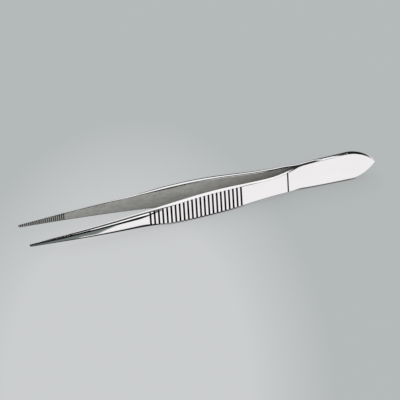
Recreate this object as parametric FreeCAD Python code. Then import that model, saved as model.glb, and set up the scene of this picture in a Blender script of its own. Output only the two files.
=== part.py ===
import FreeCAD, Part
import math
import os
from FreeCAD import Vector

# Thumb forceps: two forged spring blades of stainless steel, welded face to face at the tail.
# A station is a distance along the forceps from the point of the tail, in millimetres.
# The tips point to -X and the tail to +X. The forceps lie on their long edges.

LENGTH = 145.0

# Stations of the side outline and the bend, from the tail to the tip
LEAF_AT = 12.3
WELD_END = 31.0
BEND_AT = 37.6
WAIST_AT = 45.0
SHOULDER_AT = 48.0
GRIP_AT = 69.0
THICKEST_AT = 75.0
CROWN_FROM = 84.0
NECK_AT = 102.0
PARALLEL_LENGTH = 14.0

# Half heights of a blade, from its centre line to its edge
LEAF_HALF_HEIGHT = 5.75
WAIST_HALF_HEIGHT = 3.82
GRIP_HALF_HEIGHT = 4.62
NECK_HALF_HEIGHT = 2.88
TIP_HALF_HEIGHT = 0.5

# Distances of the inner face from the plane of the weld
BEND_GAP = 1.8
BEND_SLOPE = 0.21
SHOULDER_GAP = 3.14
TIP_GAP = 7.88

# Thickness of a blade
TAIL_THICKNESS = 1.2
WAIST_THICKNESS = 1.6
GRIP_THICKNESS = 2.4
NECK_THICKNESS = 1.85
TIP_THICKNESS = 0.8

# Round crown of the outer face: its radius, and its height over the flat of the face
CROWN_RADIUS_REAR = 7.4
CROWN_RADIUS_NECK = 4.9
CROWN_RADIUS_TIP = 0.58
CROWN_RISE_REAR = 1.4
CROWN_RISE_NECK = 0.16
CROWN_RISE_TIP = -0.03
CROWN_STEPS = 10

# Grip grooves, across the outer face
GROOVE_COUNT = 23
GROOVE_PITCH = 1.734
GROOVE_WIDTH = 0.74
GROOVE_DEPTH = 0.55
FIRST_GROOVE_AT = 58.45

# Single groove across the outer face at the bend
TAIL_GROOVE_AT = 37.9
TAIL_GROOVE_WIDTH = 0.5
TAIL_GROOVE_DEPTH = 0.35

# Teeth across the inner face of the jaws
TOOTH_COUNT = 22
TOOTH_PITCH = 0.83
TOOTH_DEPTH = 0.3
TOOTH_LAND = 0.06

# Room that a cutting shape takes beyond the metal
CLEAR = 3.0


def smooth_value(knots, station):
    # Cubic through knots of (station, value, slope), held level outside them
    if station <= knots[0][0]:
        return knots[0][1]
    for (s0, v0, m0), (s1, v1, m1) in zip(knots, knots[1:]):
        if station <= s1:
            span = s1 - s0
            t = (station - s0) / span
            rise = v1 - v0
            return (v0 + rise * t * t * (3 - 2 * t)
                    + span * t * (1 - t) * (m0 * (1 - t) - m1 * t))
    return knots[-1][1]


def smooth_slope(knots, station):
    step = 0.001
    ahead = smooth_value(knots, station + step)
    behind = smooth_value(knots, station - step)
    return (ahead - behind) / (2 * step)


def chord_slope(knot_a, knot_b):
    return (knot_b[1] - knot_a[1]) / (knot_b[0] - knot_a[0])


def knot_curves(knots, place):
    # One cubic edge for each pair of knots; place(station, value) gives a point
    edges = []
    for (s0, v0, m0), (s1, v1, m1) in zip(knots, knots[1:]):
        third = (s1 - s0) / 3
        curve = Part.BezierCurve()
        curve.setPoles([place(s0, v0),
                        place(s0 + third, v0 + m0 * third),
                        place(s1 - third, v1 - m1 * third),
                        place(s1, v1)])
        edges.append(curve.toShape())
    return edges


def x_of(station):
    return LENGTH / 2 - station


def side_knots():
    taper = chord_slope((NECK_AT, NECK_HALF_HEIGHT), (LENGTH, TIP_HALF_HEIGHT))
    return [(LEAF_AT, LEAF_HALF_HEIGHT, 0.0),
            (WAIST_AT, WAIST_HALF_HEIGHT, 0.0),
            (GRIP_AT, GRIP_HALF_HEIGHT, 0.0),
            (NECK_AT, NECK_HALF_HEIGHT, taper),
            (LENGTH - TIP_HALF_HEIGHT, TIP_HALF_HEIGHT - taper * TIP_HALF_HEIGHT, taper)]


def gap_knots():
    # The blades leave the weld, bend outwards, run on straight and turn parallel at the jaws
    parallel_at = LENGTH - PARALLEL_LENGTH
    run = (NECK_AT - SHOULDER_AT) + (parallel_at - NECK_AT) / 2
    spread = (TIP_GAP - SHOULDER_GAP) / run
    neck_gap = SHOULDER_GAP + spread * (NECK_AT - SHOULDER_AT)
    return [(WELD_END, 0.0, 0.0),
            (BEND_AT, BEND_GAP, BEND_SLOPE),
            (SHOULDER_AT, SHOULDER_GAP, spread),
            (NECK_AT, neck_gap, spread),
            (parallel_at, TIP_GAP, 0.0),
            (LENGTH, TIP_GAP, 0.0)]


def thickness_knots():
    swell = chord_slope((WELD_END, TAIL_THICKNESS), (THICKEST_AT, GRIP_THICKNESS))
    taper = chord_slope((NECK_AT, NECK_THICKNESS), (LENGTH, TIP_THICKNESS))
    return [(WELD_END, TAIL_THICKNESS, 0.0),
            (WAIST_AT, WAIST_THICKNESS, swell),
            (THICKEST_AT, GRIP_THICKNESS, 0.0),
            (NECK_AT, NECK_THICKNESS, taper),
            (LENGTH, TIP_THICKNESS, taper)]


def outer_knots():
    # Outer face: the gap and the thickness added up, with the knots of both
    gap, thickness = gap_knots(), thickness_knots()
    stations = sorted({knot[0] for knot in gap + thickness})
    return [(s,
             smooth_value(gap, s) + smooth_value(thickness, s),
             smooth_slope(gap, s) + smooth_slope(thickness, s)) for s in stations]


def plan_body():
    # The blade seen from above, drawn up through its whole height
    def place(station, value):
        return Vector(x_of(station), -value, 0)

    outer = outer_knots()
    outer[0] = (WELD_END, TAIL_THICKNESS, 0.0)
    outer[-1] = (LENGTH, TIP_GAP + TIP_THICKNESS, outer[-2][2])
    inner_edges = knot_curves(gap_knots(), place)
    outer_edges = knot_curves(outer, place)
    tail_inner = Part.makeLine(place(0, 0), place(WELD_END, 0))
    tail_end = Part.makeLine(place(0, 0), place(0, TAIL_THICKNESS))
    tail_outer = Part.makeLine(place(0, TAIL_THICKNESS), place(WELD_END, TAIL_THICKNESS))
    tip_end = Part.makeLine(place(LENGTH, TIP_GAP), place(LENGTH, TIP_GAP + TIP_THICKNESS))
    edges = [tail_inner, tail_end, tail_outer, tip_end] + inner_edges + outer_edges
    wire = Part.Wire(Part.__sortEdges__(edges))
    height = 2 * (LEAF_HALF_HEIGHT + CLEAR)
    body = Part.Face(wire).extrude(Vector(0, 0, height))
    body.translate(Vector(0, 0, -height / 2))
    return body


def side_body():
    # The blade seen from the side, drawn across from the weld to clear of the outer face
    knots = side_knots()

    def upper(station, value):
        return Vector(x_of(station), 0, value)

    def lower(station, value):
        return Vector(x_of(station), 0, -value)

    # Pointed leaf of the tail: an arc that is level at the widest place
    radius = (LEAF_AT ** 2 + LEAF_HALF_HEIGHT ** 2) / (2 * LEAF_HALF_HEIGHT)
    mid_station = LEAF_AT / 2
    mid_height = LEAF_HALF_HEIGHT - radius + math.sqrt(radius ** 2 - mid_station ** 2)
    tip_station, tip_height, _ = knots[-1]
    edges = knot_curves(knots, upper) + knot_curves(knots, lower)
    for place in (upper, lower):
        point, middle = place(0, 0), place(LEAF_AT - mid_station, mid_height)
        leaf = Part.Arc(point, middle, place(LEAF_AT, LEAF_HALF_HEIGHT))
        edges.append(leaf.toShape())
    nose = Part.Arc(upper(tip_station, tip_height), upper(LENGTH, 0), lower(tip_station, tip_height))
    edges.append(nose.toShape())
    wire = Part.Wire(Part.__sortEdges__(edges))
    reach = TIP_GAP + GRIP_THICKNESS + CLEAR
    return Part.Face(wire).extrude(Vector(0, -reach, 0))


def crown_body():
    # Round bar that follows the front of the blade; its skin is the crown of the outer face
    taper = chord_slope((NECK_AT, CROWN_RADIUS_NECK), (LENGTH, CROWN_RADIUS_TIP))
    radius = [(CROWN_FROM, CROWN_RADIUS_REAR, 0.0),
              (NECK_AT, CROWN_RADIUS_NECK, taper),
              (LENGTH, CROWN_RADIUS_TIP, taper)]
    rise = [(CROWN_FROM, CROWN_RISE_REAR, 0.0),
            (NECK_AT, CROWN_RISE_NECK, 0.0),
            (LENGTH, CROWN_RISE_TIP, 0.0)]
    rounds = []
    end = LENGTH + CLEAR
    for i in range(CROWN_STEPS + 1):
        station = CROWN_FROM + (end - CROWN_FROM) * i / CROWN_STEPS
        r = smooth_value(radius, station)
        top = smooth_value(outer_knots(), station) + smooth_value(rise, station)
        centre = Vector(x_of(station), r - top, 0)
        rounds.append(Part.Wire([Part.Circle(centre, Vector(1, 0, 0), r).toShape()]))
    return Part.makeLoft(rounds, True, False)


def crown_waste():
    # What the crown takes away: the front of the blade outside the round bar
    reach = 2 * (TIP_GAP + GRIP_THICKNESS + CLEAR)
    height = 2 * (LEAF_HALF_HEIGHT + CLEAR)
    front = LENGTH + CLEAR / 2
    block = Part.makeBox(front - CROWN_FROM, reach, height, Vector(x_of(front), -reach, -height / 2))
    return block.cut(crown_body())


def groove_tool(station, width, depth):
    # Slot with a round floor, sunk square to the outer face and drawn through the height
    knots = outer_knots()
    level = smooth_value(knots, station)
    slope = smooth_slope(knots, station)
    half = width / 2
    floor = half - depth
    side_a = Part.makeLine(Vector(-half, -CLEAR, 0), Vector(-half, -floor, 0))
    side_b = Part.makeLine(Vector(half, -CLEAR, 0), Vector(half, -floor, 0))
    round_floor = Part.Arc(Vector(-half, -floor, 0), Vector(0, depth, 0), Vector(half, -floor, 0)).toShape()
    top = Part.makeLine(Vector(-half, -CLEAR, 0), Vector(half, -CLEAR, 0))
    wire = Part.Wire(Part.__sortEdges__([side_a, round_floor, side_b, top]))
    height = 2 * (LEAF_HALF_HEIGHT + CLEAR)
    tool = Part.Face(wire).extrude(Vector(0, 0, height))
    tool.translate(Vector(0, 0, -height / 2))
    tool.rotate(Vector(0, 0, 0), Vector(0, 0, 1), math.degrees(math.atan(slope)))
    tool.translate(Vector(x_of(station), -level, 0))
    return tool


def groove_tools():
    tools = [groove_tool(FIRST_GROOVE_AT + i * GROOVE_PITCH, GROOVE_WIDTH, GROOVE_DEPTH)
             for i in range(GROOVE_COUNT)]
    tools.append(groove_tool(TAIL_GROOVE_AT, TAIL_GROOVE_WIDTH, TAIL_GROOVE_DEPTH))
    return tools


def tooth_rack(shift):
    # Saw-tooth bar that cuts the teeth of a jaw; shift moves it towards the tail
    knots = gap_knots()

    def point(station, depth):
        return Vector(x_of(station), -smooth_value(knots, station) - depth, 0)

    points = []
    for i in range(TOOTH_COUNT):
        crest = LENGTH - shift - i * TOOTH_PITCH
        points.append(point(crest, -TOOTH_LAND))
        points.append(point(crest - TOOTH_PITCH / 2, TOOTH_DEPTH))
    last = LENGTH - shift - TOOTH_COUNT * TOOTH_PITCH
    points.append(point(last, -TOOTH_LAND))
    points.append(point(last, -CLEAR))
    points.append(point(LENGTH - shift, -CLEAR))
    points.append(points[0])
    height = 2 * (LEAF_HALF_HEIGHT + CLEAR)
    rack = Part.Face(Part.makePolygon(points)).extrude(Vector(0, 0, height))
    rack.translate(Vector(0, 0, -height / 2))
    return rack


def blade(tooth_shift):
    # One blade in the drawing frame, on the -Y side of the weld
    blank = plan_body().common(side_body()).cut(crown_waste())
    grooved = blank.cut(Part.makeCompound(groove_tools()))
    toothed = grooved.cut(tooth_rack(tooth_shift))
    return toothed.removeSplitter()


def lay_down(shapes):
    # Lying on its edges, it rests on the widest part of the tail and of the grips
    droop = math.degrees(math.atan2(LEAF_HALF_HEIGHT - GRIP_HALF_HEIGHT, GRIP_AT - LEAF_AT))
    for shape in shapes:
        shape.rotate(Vector(0, 0, 0), Vector(0, 1, 0), -droop)
    box = Part.makeCompound(shapes).optimalBoundingBox(False)
    for shape in shapes:
        shape.translate(Vector(-box.Center.x, -box.Center.y, -box.ZMin))


def main():
    # The teeth of the two jaws stand half a pitch apart, so that they mesh when they close
    front_blade = blade(0.0)
    rear_blade = blade(TOOTH_PITCH / 2).mirror(Vector(0, 0, 0), Vector(0, 1, 0))
    lay_down([front_blade, rear_blade])
    os.makedirs("parts", exist_ok=True)
    front_blade.exportStep("parts/front_blade.step")
    rear_blade.exportStep("parts/rear_blade.step")


main()
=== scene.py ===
from math import atan2, cos, pi, radians, sin

import bpy
import numpy as np
from mathutils import Matrix, Vector


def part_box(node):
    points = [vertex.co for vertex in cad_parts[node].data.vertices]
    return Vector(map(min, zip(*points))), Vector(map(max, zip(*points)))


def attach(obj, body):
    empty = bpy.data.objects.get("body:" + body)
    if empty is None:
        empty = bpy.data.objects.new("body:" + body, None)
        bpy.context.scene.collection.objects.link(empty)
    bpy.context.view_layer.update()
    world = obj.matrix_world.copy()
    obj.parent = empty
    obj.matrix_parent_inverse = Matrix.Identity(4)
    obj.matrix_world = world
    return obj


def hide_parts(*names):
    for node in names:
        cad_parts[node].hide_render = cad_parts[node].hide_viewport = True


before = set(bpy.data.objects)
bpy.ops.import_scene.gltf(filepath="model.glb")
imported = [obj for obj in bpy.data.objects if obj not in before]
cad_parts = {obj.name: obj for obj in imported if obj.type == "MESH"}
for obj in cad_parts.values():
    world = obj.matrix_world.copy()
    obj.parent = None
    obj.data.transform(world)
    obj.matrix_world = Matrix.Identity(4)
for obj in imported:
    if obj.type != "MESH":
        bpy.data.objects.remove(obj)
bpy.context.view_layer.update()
print("frame loaded")

mm = 0.001

# The two blades. Stations run from the point of the tail to the tip, heights from a blade's
# centre line, depths from its inner face outwards, all in millimetres.
blades = {
    "length": 145.0, "parallelLength": 14.0,
    "leafAt": 12.3, "weldEnd": 31.0, "bendAt": 37.6, "waistAt": 45.0, "shoulderAt": 48.0,
    "gripAt": 69.0, "thickestAt": 75.0, "crownFrom": 82.0, "neckAt": 102.0,
    "leafHalf": 5.75, "waistHalf": 3.82, "gripHalf": 4.62, "neckHalf": 2.88, "tipHalf": 0.5,
    "leafRear": ((20.0, 5.55, -0.03), (30.0, 5.12, -0.09)),   # station, half height and slope
    "bendGap": 1.8, "bendSlope": 0.21, "shoulderGap": 3.14, "tipGap": 7.88,
    "tailThick": 1.2, "waistThick": 1.6, "gripThick": 2.4, "neckThick": 1.85, "tipThick": 0.8,
    "crownRadius": (7.4, 4.9, 0.58), "crownRise": (1.2, 0.16, -0.03),   # grip, neck, tip
    "tipNose": 0.6, "noseDrop": 0.4,
    "stationGap": 1.1, "sharpAngle": 28,
}
grooves = {"count": 23, "pitch": 1.734, "first": 58.45, "width": 0.74, "depth": 0.55, "rim": 0.07,
           "land": 0.06, "runOut": 0.2}
tailGroove = {"at": 37.9, "width": 0.5, "depth": 0.35, "rim": 0.12}
teeth = {"count": 22, "pitch": 0.83, "depth": 0.3, "land": 0.06}

# Long edges of the blades, as (station, value) from tail to tip: radii of the edge rounds in
# millimetres, turns of the side walls in degrees, and how dark the painted shade of the seam is on
# the upper wall, where it covers so many of the wall's points, counted from the inner face.
edges = {
    "upperRound": ((37, 0.1), (41, 0.06), (44, 0.05), (86, 0.05), (92, 0.3), (102, 0.45),
                   (112, 0.45), (129, 0.4), (135, 0.3)),
    "lowerRound": ((12.5, 0.08), (14, 0.1), (15.5, 0.1), (18, 0.15), (20, 0.2), (41, 0.2),
                   (44, 0.25), (86, 0.3), (92, 0.3), (102, 0.25), (112, 0.2), (129, 0.15),
                   (135, 0.15), (145, 0.1)),
    "lowerTurns": (2, 3),
    "front_blade": {
        "innerRound": ((37, 0.02), (41, 0.1), (44, 0.2), (86, 0.2), (92, 0.1)),
        "turnIn": ((11, 2), (12.5, 16), (14, 16), (15.5, 12), (18, 4), (20, 0), (23.5, 0), (25, 3),
                   (129, 3), (135, -8)),
        "turnOut": ((11, 5), (12.5, -8), (14, -8), (15.5, 3), (18, 7), (129, 7), (135, 16)),
        "seamShade": ((21, 0), (23.5, 0.4), (25.5, 1), (34.5, 1), (38.5, 0)), "seamShadePoints": 13,
    },
    "rear_blade": {
        "innerRound": ((25, 0.02), (37, 0.3), (41, 0.4), (44, 0.5), (86, 0.45), (92, 0.3),
                       (102, 0.1), (112, 0.35), (129, 0.35), (135, 0.2), (145, 0.1)),
        "turnIn": ((11, 2), (12.5, -7), (20, -7), (23.5, -2), (25, 2), (37, 3)),
        "turnOut": ((11, 5), (12.5, 11), (20, 11), (23.5, 9), (25, 8), (37, 8), (41, 9), (92, 9),
                    (102, 5)),
        "seamShade": ((21, 0), (23.5, 0.4), (25.5, 1), (37.5, 1), (41, 0)), "seamShadePoints": 8,
    },
    # painted shade along the seam where the blades meet, darkened as if it were a groove
    "seamShadeDepth": 0.03,                      # counts as a groove this deep
    "easeBelow": 1.5, "easeLeast": 0.05,       # walls turn less where the half height is small
    "innerShare": 0.3, "depthShare": 0.98, "heightShare": 0.6,   # largest rounds in a thin section
    "stripShare": (0.03, 0.97),                # least and largest flat strip
}


def smooth(knots, s):
    # cubic through knots of (station, value, slope), held level outside them
    k = np.array(knots, float)
    s = np.clip(s, k[0, 0], k[-1, 0])
    i = np.clip(np.searchsorted(k[:, 0], s, side="right") - 1, 0, len(k) - 2)
    span = k[i + 1, 0] - k[i, 0]
    t = (s - k[i, 0]) / span
    rise = k[i + 1, 1] - k[i, 1]
    bend = k[i, 2] * (1 - t) - k[i + 1, 2] * t
    return k[i, 1] + rise * t * t * (3 - 2 * t) + span * t * (1 - t) * bend


def valueAt(pairs, s):
    # straight between the listed stations, level outside them
    stations, values = zip(*pairs)
    return np.interp(s, stations, values)


def halfHeight(s):
    # pointed arc to the widest place of the leaf, cubics to the neck, straight taper, round nose
    b = blades
    taper = (b["tipHalf"] - b["neckHalf"]) / (b["length"] - b["neckAt"])
    radius = (b["leafAt"] ** 2 + b["leafHalf"] ** 2) / (2 * b["leafHalf"])
    leaf = b["leafHalf"] - radius + np.sqrt(np.maximum(radius ** 2 - (b["leafAt"] - s) ** 2, 0))
    sides = smooth([(b["leafAt"], b["leafHalf"], 0), *b["leafRear"], (b["waistAt"], b["waistHalf"], 0),
                    (b["gripAt"], b["gripHalf"], 0), (b["neckAt"], b["neckHalf"], taper),
                    (b["length"], b["tipHalf"], taper)], s)
    noseAt = b["length"] - b["tipHalf"]
    noseHalf = b["tipHalf"] * (1 - taper)
    nose = noseHalf * np.sqrt(np.clip(1 - ((s - noseAt) / b["tipHalf"]) ** 2, 0, 1))
    return np.where(s < b["leafAt"], leaf, np.where(s > noseAt, nose, sides))


def gapOf(s):
    # inner face: flat in the weld, bent outwards, straight, then parallel at the jaws
    b = blades
    parallelAt = b["length"] - b["parallelLength"]
    straight = b["neckAt"] - b["shoulderAt"]
    spread = (b["tipGap"] - b["shoulderGap"]) / (straight + (parallelAt - b["neckAt"]) / 2)
    neckGap = b["shoulderGap"] + spread * straight
    return smooth([(b["weldEnd"], 0, 0), (b["bendAt"], b["bendGap"], b["bendSlope"]),
                   (b["shoulderAt"], b["shoulderGap"], spread), (b["neckAt"], neckGap, spread),
                   (parallelAt, b["tipGap"], 0), (b["length"], b["tipGap"], 0)], s)


def thicknessOf(s):
    b = blades
    swell = (b["gripThick"] - b["tailThick"]) / (b["thickestAt"] - b["weldEnd"])
    taper = (b["tipThick"] - b["neckThick"]) / (b["length"] - b["neckAt"])
    return smooth([(b["weldEnd"], b["tailThick"], 0), (b["waistAt"], b["waistThick"], swell),
                   (b["thickestAt"], b["gripThick"], 0), (b["neckAt"], b["neckThick"], taper),
                   (b["length"], b["tipThick"], taper)], s)


def crownOf(s):
    # radius of the round crown, and the height of its top over the inner face
    b = blades
    rear, neck, tip = b["crownRadius"]
    rearRise, neckRise, tipRise = b["crownRise"]
    taper = (tip - neck) / (b["length"] - b["neckAt"])
    radius = smooth([(b["crownFrom"], rear, 0), (b["neckAt"], neck, taper),
                     (b["length"], tip, taper)], s)
    rise = smooth([(b["crownFrom"], rearRise, 0), (b["neckAt"], neckRise, 0),
                   (b["length"], tipRise, 0)], s)
    return radius, thicknessOf(s) + rise


def slotDepth(away, slot):
    # slot with a half-round floor and a small rounded rim, by the distance from its middle
    half, rim = slot["width"] / 2, slot["rim"]
    away = np.abs(away)
    floor = slot["depth"] - half + np.sqrt(np.maximum(half ** 2 - away ** 2, 0))
    lip = rim - np.sqrt(np.maximum(rim ** 2 - (half + rim - away) ** 2, 0))
    return np.where(away < half - 1e-4, floor, np.where(away < half + rim, lip, 0))


def groovesDepth(s, fromEdge):
    # the grip grooves run out just under the upper edge, the tail's groove is cut right across
    nearest = np.clip(np.round((s - grooves["first"]) / grooves["pitch"]), 0, grooves["count"] - 1)
    grip = slotDepth(s - grooves["first"] - nearest * grooves["pitch"], grooves)
    reach = np.clip((fromEdge - grooves["land"]) / grooves["runOut"], 0, 1)
    return grip * reach + slotDepth(s - tailGroove["at"], tailGroove)


def teethDepth(s, shift):
    # saw-tooth with a narrow land on each crest, over the toothed length only
    run = (blades["length"] - shift - s) / teeth["pitch"]
    wave = 1 - np.abs(2 * (run % 1) - 1)
    depth = -teeth["land"] + (teeth["depth"] + teeth["land"]) * wave
    return np.where((run > 0) & (run < teeth["count"]), np.maximum(depth, 0), 0)


def slotStations(at, slot):
    # close stations on the rims and on the round floor of each slot
    half, rim = slot["width"] / 2, slot["rim"]
    rimSteps = half + rim * (1 - np.sin(np.linspace(0, pi / 2, 4)))
    floorSteps = (half - 2e-4) * np.sin(np.linspace(-pi / 2, pi / 2, 12))
    offsets = np.concatenate([-rimSteps - 0.02, -rimSteps, floorSteps, rimSteps, rimSteps + 0.02])
    return (np.atleast_1d(at)[:, None] + offsets[None, :]).ravel()


def stationList(shift):
    # close stations where the shape turns: the tail's point, each groove wall, each tooth, the nose
    b = blades
    leaf = b["leafAt"] * (1 - np.cos(np.linspace(0.03, pi / 2, 30)))
    middle = np.arange(b["leafAt"], b["length"] - 1, b["stationGap"])
    nose = b["length"] - b["tipNose"] * (1 - np.sin(np.linspace(0, pi / 2 - 0.03, 9)))
    grip = slotStations(grooves["first"] + grooves["pitch"] * np.arange(grooves["count"]), grooves)
    bend = slotStations(tailGroove["at"], tailGroove)
    landEnd = 0.5 * teeth["land"] / (teeth["depth"] + teeth["land"])
    phases = np.arange(teeth["count"])[:, None] + np.array([landEnd, 0.5, 1 - landEnd])[None, :]
    jaw = b["length"] - shift - teeth["pitch"] * phases.ravel()
    s = np.unique(np.round(np.concatenate([leaf, middle, nose, grip, bend, jaw]), 4))
    return s[(s > leaf[0] - 1e-6) & (s < b["length"])]


def sectionGrid(s, name, shift):
    # Closed section at each station, as (height, depth): inner face, inner edge round, side wall,
    # outer edge round, crown, flat strip, and back down the other side. The outer skin is the
    # lower of the flat and the crown's circle. The side wall is an arc that turns by turnIn
    # towards the inner face and turnOut towards the outer one, which can differ in sign, and each
    # edge round is the rest of its quarter turn. The grooves then cut off all that is deeper than
    # their floors, and the carved array holds each point's groove or tooth depth plus painted seam
    # shade.
    b, e = blades, edges
    s = s[:, None]
    h = halfHeight(s)
    thick = thicknessOf(s)
    radius, top = crownOf(s)
    inner = teethDepth(s, shift)
    noseRun = np.clip((s - b["length"] + b["tipNose"]) / b["tipNose"], 0, 1)
    noseDrop = b["noseDrop"] * thick * (1 - np.sqrt(1 - noseRun ** 2))

    def skin(z):
        crown = top - radius + np.sqrt(np.maximum(radius ** 2 - z ** 2, 0))
        return np.where(s > b["crownFrom"], np.minimum(thick, crown), thick) - noseDrop

    deep = skin(h) - inner
    innerRound = np.minimum(valueAt(e[name]["innerRound"], s), e["innerShare"] * np.minimum(h, deep))
    roundTurns = np.linspace(0, 1, 8)[None, :]
    wallSteps = np.linspace(0.04, 0.96, 6)[None, :]
    crownSteps = np.array([0.985, 0.85, 0.7, 0.5, 0.3, 0.12, 0.015])[None, :]
    innerSteps = np.array([0, 0.01, 0.2, 0.4, 0.6, 0.8, 0.99, 1])[None, :]
    stripSteps = np.array([0.01, 0.25, 0.5, 0.75, 0.99])[None, :]

    def wall(outerRound, turnIn, turnOut):
        # one side of the section, from the inner face to the edge of the flat strip
        largest = np.minimum(e["depthShare"] * (deep - innerRound), e["heightShare"] * h)
        outerRound = np.minimum(outerRound, largest)
        start = inner + innerRound * (1 - np.sin(turnIn))
        finish = skin(h) - outerRound * (1 - np.sin(turnOut))
        arc = (finish - start) / (np.sin(turnIn) + np.sin(turnOut))
        crest = np.cos(np.maximum(0, -np.minimum(turnIn, turnOut)))

        def heightAt(turn):
            return h - arc * (crest - np.cos(turn))

        innerEdge = heightAt(turnIn) - innerRound * np.cos(turnIn)
        ridge = heightAt(turnOut) - outerRound * np.cos(turnOut)
        backTurn = pi / 2 - (pi / 2 - turnIn) * roundTurns[:, 1:]
        wallTurn = -turnIn + (turnIn + turnOut) * wallSteps
        foreTurn = turnOut + (pi / 2 - turnOut) * roundTurns
        flat = np.sqrt(np.maximum(radius ** 2 - (thick - top + radius) ** 2, 0))
        least, most = e["stripShare"]
        flat = np.clip(np.where(s > b["crownFrom"], flat, ridge), least * ridge, most * ridge)
        zOut = ridge + outerRound * np.cos(foreTurn)
        zCrown = flat + (ridge - flat) * crownSteps
        z = np.hstack([innerEdge + innerRound * np.cos(backTurn), heightAt(wallTurn),
                       zOut, zCrown, flat])
        depth = np.hstack([inner + innerRound * (1 - np.sin(backTurn)),
                           start + arc * (np.sin(wallTurn) + np.sin(turnIn)),
                           skin(zOut) - outerRound * (1 - np.sin(foreTurn)),
                           skin(zCrown), skin(flat)])
        return z, depth, innerEdge

    ease = np.clip(h / e["easeBelow"], e["easeLeast"], 1)
    upperTurns = [np.radians(valueAt(e[name][end], s)) * ease for end in ("turnIn", "turnOut")]
    lowerTurns = [np.radians(turn) * ease for turn in e["lowerTurns"]]
    zUp, depthUp, innerUp = wall(valueAt(e["upperRound"], s), *upperTurns)
    zDown, depthDown, innerDown = wall(valueAt(e["lowerRound"], s), *lowerTurns)
    zInner = -innerDown + (innerUp + innerDown) * innerSteps
    edgeUp, edgeDown = zUp[:, -1:], -zDown[:, -1:]
    zStrip = edgeUp + (edgeDown - edgeUp) * stripSteps
    z = np.hstack([zInner, zUp, zStrip, -zDown[:, ::-1]])
    whole = np.hstack([inner + 0 * innerSteps, depthUp, skin(zStrip), depthDown[:, ::-1]])
    depth = np.minimum(whole, thick - groovesDepth(s, h - z))

    innerColumns = innerSteps.shape[1]
    carvedAndSeam = whole - depth
    carvedAndSeam[:, :innerColumns] = inner
    # painted shade along the seam where the blades meet: the upper wall's first points are darkened like
    # a groove
    seamShadeColumns = slice(innerColumns, innerColumns + e[name]["seamShadePoints"])
    carvedAndSeam[:, seamShadeColumns] += e["seamShadeDepth"] * valueAt(e[name]["seamShade"], s)
    return z, depth, carvedAndSeam, innerColumns


def layDown(x, z):
    # turned about Y until the tail and the grips touch the table together
    droop = atan2(blades["leafHalf"] - blades["gripHalf"], blades["gripAt"] - blades["leafAt"])
    return x * cos(droop) - z * sin(droop), x * sin(droop) + z * cos(droop)


def bladeMesh(name, side, shift):
    # sections joined by quads, with a face over each end
    s = stationList(shift)
    z, depth, carvedAndSeam, innerColumns = sectionGrid(s, name, shift)
    x = blades["length"] / 2 - s[:, None] + 0 * z
    y = side * (gapOf(s)[:, None] + depth)
    x, z = layDown(x, z)
    low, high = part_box(name)
    lift = low.z / mm - z.min()
    slide = (low.x + high.x) / 2 / mm - (x.min() + x.max()) / 2
    points = np.stack([x + slide, y, z + lift], -1).reshape(-1, 3) * mm

    rows, columns = z.shape
    i = np.arange(rows - 1)[:, None] * columns
    j = np.arange(columns)[None, :]
    k = (j + 1) % columns
    quads = np.stack([i + j, i + k, i + columns + k, i + columns + j], -1).reshape(-1, 4)
    ends = [np.arange(columns)[::-1], np.arange(columns) + (rows - 1) * columns]
    if side < 0:
        quads = quads[:, ::-1]
        ends = [end[::-1] for end in ends]
    mesh = bpy.data.meshes.new(name)
    mesh.from_pydata(points.tolist(), [], quads.tolist() + [end.tolist() for end in ends])
    satinFaces = np.tile(np.arange(columns) < innerColumns - 1, rows - 1)
    materials = np.concatenate([satinFaces, [0, 0]]).astype(np.int32)
    mesh.polygons.foreach_set("material_index", materials)
    mesh.polygons.foreach_set("use_smooth", np.ones(len(mesh.polygons), bool))
    attribute = mesh.attributes.new("carvedAndSeam", "FLOAT", "POINT")
    attribute.data.foreach_set("value", carvedAndSeam.ravel().astype(np.float32))
    mesh.set_sharp_from_angle(angle=radians(blades["sharpAngle"]))
    mesh.validate()
    mesh.update()
    piece = bpy.data.objects.new(name + "_steel", mesh)
    bpy.context.scene.collection.objects.link(piece)
    return piece


# Finishes of the steel: mirror polish outside, unpolished grooves darkened further with painted
# shade, ground satin inside with painted shade near the weld, the lower edge and the teeth. An
# amount is how far a noise moves a colour or a roughness either way, as a share of it.
polish = {
    "color": (0.86, 0.85, 0.855), "roughness": 0.035,
    "cloud": {"stretch": (1, 3, 3), "scale": 60, "detail": 3}, "cloudAmount": 0.03,
    "buffing": {"stretch": (1, 12, 12), "scale": 260, "detail": 3}, "buffingAmount": 0.3,
    # the grooves' colour is unpolished steel, darkened further with painted shade in the recess
    "grooveDullAndShadeColor": (0.015, 0.014, 0.013), "grooveRoughness": 0.35, "grooveRange": (0.003, 0.03),
}
satin = {
    "color": (0.67, 0.66, 0.63), "metal": 0.3, "roughness": 0.45,
    "grain": {"stretch": (1, 6, 6), "scale": 900, "detail": 4}, "grainAmount": 0.2,
    "bump": 0.15, "bumpHeight": 0.00005,
    "mottle": {"stretch": (1, 2, 2), "scale": 420, "detail": 4}, "mottleAmount": 0.4,
    # painted shade in the valleys of the teeth
    "toothShadeColor": (0.07, 0.07, 0.07), "toothShadeRange": (0.05, 0.2),
    # painted shade, darker towards the weld by X and the lower edge by Z, black in the weld's crevice
    "darkTone": 0.55, "weldRange": (0.0, 0.040), "lowRange": (0.009, 0.001), "lowShare": 0.45,
    "seamShadeColor": (0.008, 0.008, 0.008), "seamShadeRange": (0.034, 0.040),
}


def newMaterial(name):
    material = bpy.data.materials.new(name)
    material.use_nodes = True
    nodes = material.node_tree.nodes
    return material, nodes, material.node_tree.links, nodes["Principled BSDF"]


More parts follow.
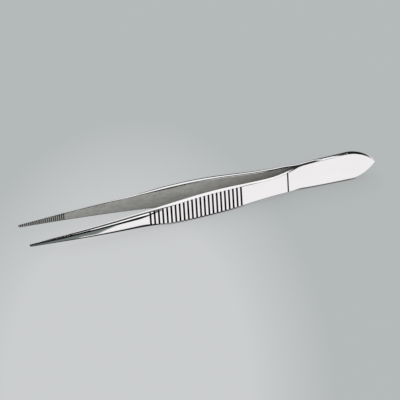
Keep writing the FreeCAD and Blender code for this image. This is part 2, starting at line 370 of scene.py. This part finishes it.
def noiseNode(nodes, links, stretch, scale, detail):
    coord = nodes.new("ShaderNodeTexCoord")
    mapping = nodes.new("ShaderNodeMapping")
    mapping.inputs["Scale"].default_value = stretch
    noise = nodes.new("ShaderNodeTexNoise")
    noise.inputs["Scale"].default_value = scale
    noise.inputs["Detail"].default_value = detail
    links.new(coord.outputs["Object"], mapping.inputs["Vector"])
    links.new(mapping.outputs["Vector"], noise.inputs["Vector"])
    return noise.outputs["Fac"]


def mapRange(nodes, links, source, low, high, fromLow=0.0, fromHigh=1.0):
    node = nodes.new("ShaderNodeMapRange")
    node.inputs["From Min"].default_value = fromLow
    node.inputs["From Max"].default_value = fromHigh
    node.inputs["To Min"].default_value = low
    node.inputs["To Max"].default_value = high
    links.new(source, node.inputs["Value"])
    return node.outputs["Result"]


def mixColors(nodes, links, factor, first, second):
    # each colour is a tuple or another node's output
    node = nodes.new("ShaderNodeMix")
    node.data_type = "RGBA"
    sockets = [socket for socket in node.inputs if socket.type == "RGBA"]
    for socket, value in zip(sockets, (first, second)):
        if isinstance(value, tuple):
            socket.default_value = (*value, 1)
        else:
            links.new(value, socket)
    links.new(factor, node.inputs["Factor"])
    return next(socket for socket in node.outputs if socket.type == "RGBA")


def varied(nodes, links, factor, color, amount):
    darker = tuple(channel * (1 - amount) for channel in color)
    lighter = tuple(channel * (1 + amount) for channel in color)
    return mixColors(nodes, links, factor, darker, lighter)


def carvedAndSeamFactor(nodes, links, carvedAndSeamRange):
    depth = nodes.new("ShaderNodeAttribute")
    depth.attribute_name = "carvedAndSeam"
    return mapRange(nodes, links, depth.outputs["Fac"], 0, 1, *carvedAndSeamRange)


def polishedSteel():
    material, nodes, links, shader = newMaterial("polished_steel")
    groove = carvedAndSeamFactor(nodes, links, polish["grooveRange"])
    cloud = noiseNode(nodes, links, **polish["cloud"])
    bright = varied(nodes, links, cloud, polish["color"], polish["cloudAmount"])
    # grooves: unpolished steel with painted shade; seam: a line of painted shade
    color = mixColors(nodes, links, groove, bright, polish["grooveDullAndShadeColor"])
    links.new(color, shader.inputs["Base Color"])
    shader.inputs["Metallic"].default_value = 1
    buffing = noiseNode(nodes, links, **polish["buffing"])   # fine lines along the blades
    least, most = 1 - polish["buffingAmount"], 1 + polish["buffingAmount"]
    shine = mapRange(nodes, links, buffing, polish["roughness"] * least, polish["roughness"] * most)
    rough = nodes.new("ShaderNodeMix")
    rough.inputs["B"].default_value = polish["grooveRoughness"]
    links.new(groove, rough.inputs["Factor"])
    links.new(shine, rough.inputs["A"])
    links.new(rough.outputs["Result"], shader.inputs["Roughness"])
    return material


def satinSteel():
    material, nodes, links, shader = newMaterial("satin_steel")
    shader.inputs["Metallic"].default_value = satin["metal"]
    place = nodes.new("ShaderNodeSeparateXYZ")
    links.new(nodes.new("ShaderNodeTexCoord").outputs["Object"], place.inputs["Vector"])
    mottle = noiseNode(nodes, links, **satin["mottle"])
    ground = varied(nodes, links, mottle, satin["color"], satin["mottleAmount"])
    # painted shade: darker towards the weld, where the blades close in, and towards the lower edge
    weld = mapRange(nodes, links, place.outputs["X"], 0, 1, *satin["weldRange"])
    low = mapRange(nodes, links, place.outputs["Z"], 0, satin["lowShare"], *satin["lowRange"])
    darker = nodes.new("ShaderNodeMath")
    darker.use_clamp = True
    links.new(weld, darker.inputs[0])
    links.new(low, darker.inputs[1])
    dark = tuple(channel * satin["darkTone"] for channel in satin["color"])
    shaded = mixColors(nodes, links, darker.outputs["Value"], ground, dark)
    # painted shade: black in the crevice where the blades meet at the weld
    seamShade = mapRange(nodes, links, place.outputs["X"], 0, 1, *satin["seamShadeRange"])
    tone = mixColors(nodes, links, seamShade, shaded, satin["seamShadeColor"])
    # painted shade in the valleys of the teeth, by their depth
    tooth = carvedAndSeamFactor(nodes, links, satin["toothShadeRange"])
    color = mixColors(nodes, links, tooth, tone, satin["toothShadeColor"])
    links.new(color, shader.inputs["Base Color"])
    grain = noiseNode(nodes, links, **satin["grain"])
    least, most = 1 - satin["grainAmount"], 1 + satin["grainAmount"]
    rough = mapRange(nodes, links, grain, satin["roughness"] * least, satin["roughness"] * most)
    links.new(rough, shader.inputs["Roughness"])
    bump = nodes.new("ShaderNodeBump")
    bump.inputs["Strength"].default_value = satin["bump"]
    bump.inputs["Distance"].default_value = satin["bumpHeight"]
    links.new(grain, bump.inputs["Height"])
    links.new(bump.outputs["Normal"], shader.inputs["Normal"])
    return material


polished = polishedSteel()
satinInside = satinSteel()
for name, side, shift in (("front_blade", -1, 0.0), ("rear_blade", 1, teeth["pitch"] / 2)):
    piece = bladeMesh(name, side, shift)
    piece.data.materials.append(polished)
    piece.data.materials.append(satinInside)
    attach(piece, "root")
    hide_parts(name)
    print(name, "made,", len(piece.data.polygons), "faces")

# Floor, surroundings and the lamps, in metres. An ellipse on the floor is 1 on its edge.
studio = {
    "floorSize": 4.0, "floorColor": (0.50, 0.525, 0.53), "floorRoughness": 0.7, "floorLit": 0.3,
    # nearColor to awayColor: a painted glow of light, the table brighter in front
    "nearColor": (0.65, 0.66, 0.67), "awayColor": (0.455, 0.48, 0.485),
    "glowCentre": (-0.065, -0.105), "glowHalf": (0.085, 0.235), "glowTurn": -18.17,
    "glowRange": (0.5, 0.85), "contact": 0.0007,
    # the table as polished metal sees it: a painted bright pool of light, greyer beyond, painted shadow
    # under the object
    "poolCentre": (0.060, 0.0), "poolHalf": (0.121, 0.028), "poolEdge": (0.99, 1.01),
    "poolLightColor": (1.0, 0.985, 0.99), "beyondColor": (0.19, 0.22, 0.21),
    "farEdge": (1.08, 1.4), "farColor": (0.04, 0.045, 0.045),
    "underShadowColor": (0.02, 0.022, 0.022), "underShadowEdge": (0.0007, 0.0013),
    "seen": (0.455, 0.48, 0.485), "inMetal": (0.010, 0.012, 0.012), "onFloor": 0.86,
    "panels": {"top_panel": {"at": (-0.10, 0.40, 1.60), "size": (1.2, 0.55), "power": 0.6},
               "back_panel": {"at": (0.18, 1.095, 0.72), "size": (0.6, 0.55), "power": 1.1},
               "front_panel": {"at": (0.48, -0.99, 0.70), "size": (0.73, 0.57), "power": 1.6}},
}


def ellipseNode(nodes, links, coord, centre, half, turn=0.0):
    # distance from the centre of an ellipse on the floor, as a share of the way to its edge
    mapping = nodes.new("ShaderNodeMapping")
    mapping.vector_type = "TEXTURE"
    mapping.inputs["Location"].default_value = (*centre, 0)
    mapping.inputs["Rotation"].default_value = (0, 0, radians(turn))
    mapping.inputs["Scale"].default_value = (*half, 1)
    links.new(coord, mapping.inputs["Vector"])
    length = nodes.new("ShaderNodeVectorMath")
    length.operation = "LENGTH"
    links.new(mapping.outputs["Vector"], length.inputs[0])
    return length.outputs["Value"]


def underShadowNode(nodes, links, coord):
    # painted shadow mask, 0 on the floor that the object covers, 1 outside: |y| against the half width
    # at each x
    b = blades
    split = nodes.new("ShaderNodeSeparateXYZ")
    links.new(coord, split.inputs["Vector"])
    reach = b["length"] / 2 * mm
    along = mapRange(nodes, links, split.outputs["X"], 0, 1, -reach, reach)
    places = ("length", "neckAt", "gripAt", "shoulderAt", "bendAt", "weldEnd")
    stations = np.array([b[key] for key in places] + [0])
    widths = gapOf(stations) + thicknessOf(stations)
    widest = widths.max()
    curve = nodes.new("ShaderNodeFloatCurve")
    line = curve.mapping.curves[0]
    for station, width in zip(stations[1:-1], widths[1:-1]):
        line.points.new(1 - station / b["length"], width / widest)
    line.points[0].location = (0, widths[0] / widest)
    line.points[len(line.points) - 1].location = (1, widths[-1] / widest)
    curve.mapping.update()
    links.new(along, curve.inputs["Value"])
    depth = nodes.new("ShaderNodeMath")
    depth.operation = "ABSOLUTE"
    links.new(split.outputs["Y"], depth.inputs[0])
    past = nodes.new("ShaderNodeMath")
    past.operation = "MULTIPLY_ADD"
    past.inputs[1].default_value = -widest * mm
    links.new(curve.outputs["Value"], past.inputs[0])
    links.new(depth.outputs["Value"], past.inputs[2])
    return mapRange(nodes, links, past.outputs["Value"], 0, 1, *studio["underShadowEdge"])


def emission(nodes, links, color):
    node = nodes.new("ShaderNodeEmission")
    links.new(color, node.inputs["Color"])
    return node.outputs["Emission"]


def mixShaders(nodes, links, factor, first, second):
    # the factor is a number or another node's output
    node = nodes.new("ShaderNodeMixShader")
    if isinstance(factor, float):
        node.inputs["Fac"].default_value = factor
    else:
        links.new(factor, node.inputs["Fac"])
    links.new(first, node.inputs[1])
    links.new(second, node.inputs[2])
    return node.outputs["Shader"]


def floorMaterial():
    # The camera sees a pale table painted a little brighter in front, with a soft shadow and a dark
    # line where the steel touches it. Polished metal sees a painted bright pool of light round the
    # object, a greyer table beyond it, and painted shadow under what the object covers.
    material, nodes, links, shader = newMaterial("pale_floor")
    shader.inputs["Base Color"].default_value = (*studio["floorColor"], 1)
    shader.inputs["Roughness"].default_value = studio["floorRoughness"]
    shader.inputs["Specular IOR Level"].default_value = 0
    coord = nodes.new("ShaderNodeTexCoord").outputs["Object"]
    # painted glow of light on the table, brighter in front
    glow = ellipseNode(nodes, links, coord, studio["glowCentre"], studio["glowHalf"], studio["glowTurn"])
    fade = mapRange(nodes, links, glow, 0, 1, *studio["glowRange"])
    pale = mixColors(nodes, links, fade, studio["nearColor"], studio["awayColor"])
    touch = nodes.new("ShaderNodeAmbientOcclusion")
    touch.inputs["Distance"].default_value = studio["contact"]
    links.new(pale, touch.inputs["Color"])

    # painted pool of light and painted shadow under the object, seen only in the metal
    pool = ellipseNode(nodes, links, coord, studio["poolCentre"], studio["poolHalf"])
    away = mapRange(nodes, links, pool, 0, 1, *studio["poolEdge"])
    far = mapRange(nodes, links, pool, 0, 1, *studio["farEdge"])
    beyond = mixColors(nodes, links, far, studio["beyondColor"], studio["farColor"])
    table = mixColors(nodes, links, away, studio["poolLightColor"], beyond)
    underShadow = underShadowNode(nodes, links, coord)
    mirrored = mixColors(nodes, links, underShadow, studio["underShadowColor"], table)

    rays = nodes.new("ShaderNodeLightPath")
    lit = shader.outputs["BSDF"]
    plain = emission(nodes, links, touch.outputs["Color"])
    seen = mixShaders(nodes, links, studio["floorLit"], plain, lit)
    other = mixShaders(nodes, links, rays.outputs["Is Camera Ray"], lit, seen)
    inMetal = emission(nodes, links, mirrored)
    whole = mixShaders(nodes, links, rays.outputs["Is Glossy Ray"], other, inMetal)
    links.new(whole, nodes["Material Output"].inputs["Surface"])
    return material


def addFloor():
    half = studio["floorSize"] / 2
    mesh = bpy.data.meshes.new("floor")
    corners = [(-half, -half, 0), (half, -half, 0), (half, half, 0), (-half, half, 0)]
    mesh.from_pydata(corners, [], [(0, 1, 2, 3)])
    floor = bpy.data.objects.new("floor", mesh)
    floor.data.materials.append(floorMaterial())
    bpy.context.scene.collection.objects.link(floor)


def addPanel(name, panel):
    # square to the object, so that its light comes evenly
    lamp = bpy.data.lights.new(name, "AREA")
    lamp.shape = "RECTANGLE"
    lamp.size, lamp.size_y = panel["size"]
    lamp.energy = panel["power"]
    piece = bpy.data.objects.new(name, lamp)
    place = Vector(panel["at"])
    turn = place.to_track_quat("Z", "Y").to_matrix().to_4x4()
    piece.matrix_world = Matrix.Translation(place) @ turn
    piece.visible_camera = False
    bpy.context.scene.collection.objects.link(piece)


def background(nodes, color, strength=1.0):
    node = nodes.new("ShaderNodeBackground")
    node.inputs["Color"].default_value = (*color, 1)
    node.inputs["Strength"].default_value = strength
    return node.outputs["Background"]


def setWorld():
    # seen by the camera as pale grey, by the metal as a dark room, and lighting all else softly
    world = bpy.data.worlds.new("studio")
    bpy.context.scene.world = world
    world.use_nodes = True
    nodes, links = world.node_tree.nodes, world.node_tree.links
    nodes.remove(nodes["Background"])
    rays = nodes.new("ShaderNodeLightPath")
    soft = background(nodes, (1, 1, 1), studio["onFloor"])
    room = background(nodes, studio["inMetal"])
    other = mixShaders(nodes, links, rays.outputs["Is Glossy Ray"], soft, room)
    pale = background(nodes, studio["seen"])
    seen = mixShaders(nodes, links, rays.outputs["Is Camera Ray"], other, pale)
    links.new(seen, nodes["World Output"].inputs["Surface"])


addFloor()
for name, panel in studio["panels"].items():
    addPanel(name, panel)
setWorld()
print("floor and lamps set")

# Camera at the photograph's angle: azimuth from -Y, elevation and roll in degrees, distance and
# height of its aim in metres, and the object's place in a frame so many pixels wide
view = {"azimuth": -18.17, "elevation": 28.29, "roll": -2.38, "distance": 0.9889, "aimHeight": 0.00457,
        "focalPixels": 2532.0, "frame": 400, "placeX": 2.37, "placeY": -2.76}


def addCamera():
    a, e, r = radians(view["azimuth"]), radians(view["elevation"]), radians(view["roll"])
    back = Vector((sin(a) * cos(e), -cos(a) * cos(e), sin(e)))
    level = Vector((cos(a), sin(a), 0))
    rise = back.cross(level)
    right = cos(r) * level + sin(r) * rise
    up = cos(r) * rise - sin(r) * level
    lens = bpy.data.cameras.new("camera")
    lens.sensor_width = 36
    lens.lens = view["focalPixels"] * lens.sensor_width / view["frame"]
    lens.shift_x = -view["placeX"] / view["frame"]
    lens.shift_y = view["placeY"] / view["frame"]
    camera = bpy.data.objects.new("camera", lens)
    place = Vector((0, 0, view["aimHeight"])) + back * view["distance"]
    turn = Matrix((right, up, back)).transposed().to_4x4()
    camera.matrix_world = Matrix.Translation(place) @ turn
    bpy.context.scene.collection.objects.link(camera)
    bpy.context.scene.camera = camera


addCamera()
bpy.context.scene.view_settings.view_transform = "Standard"
print("camera set")
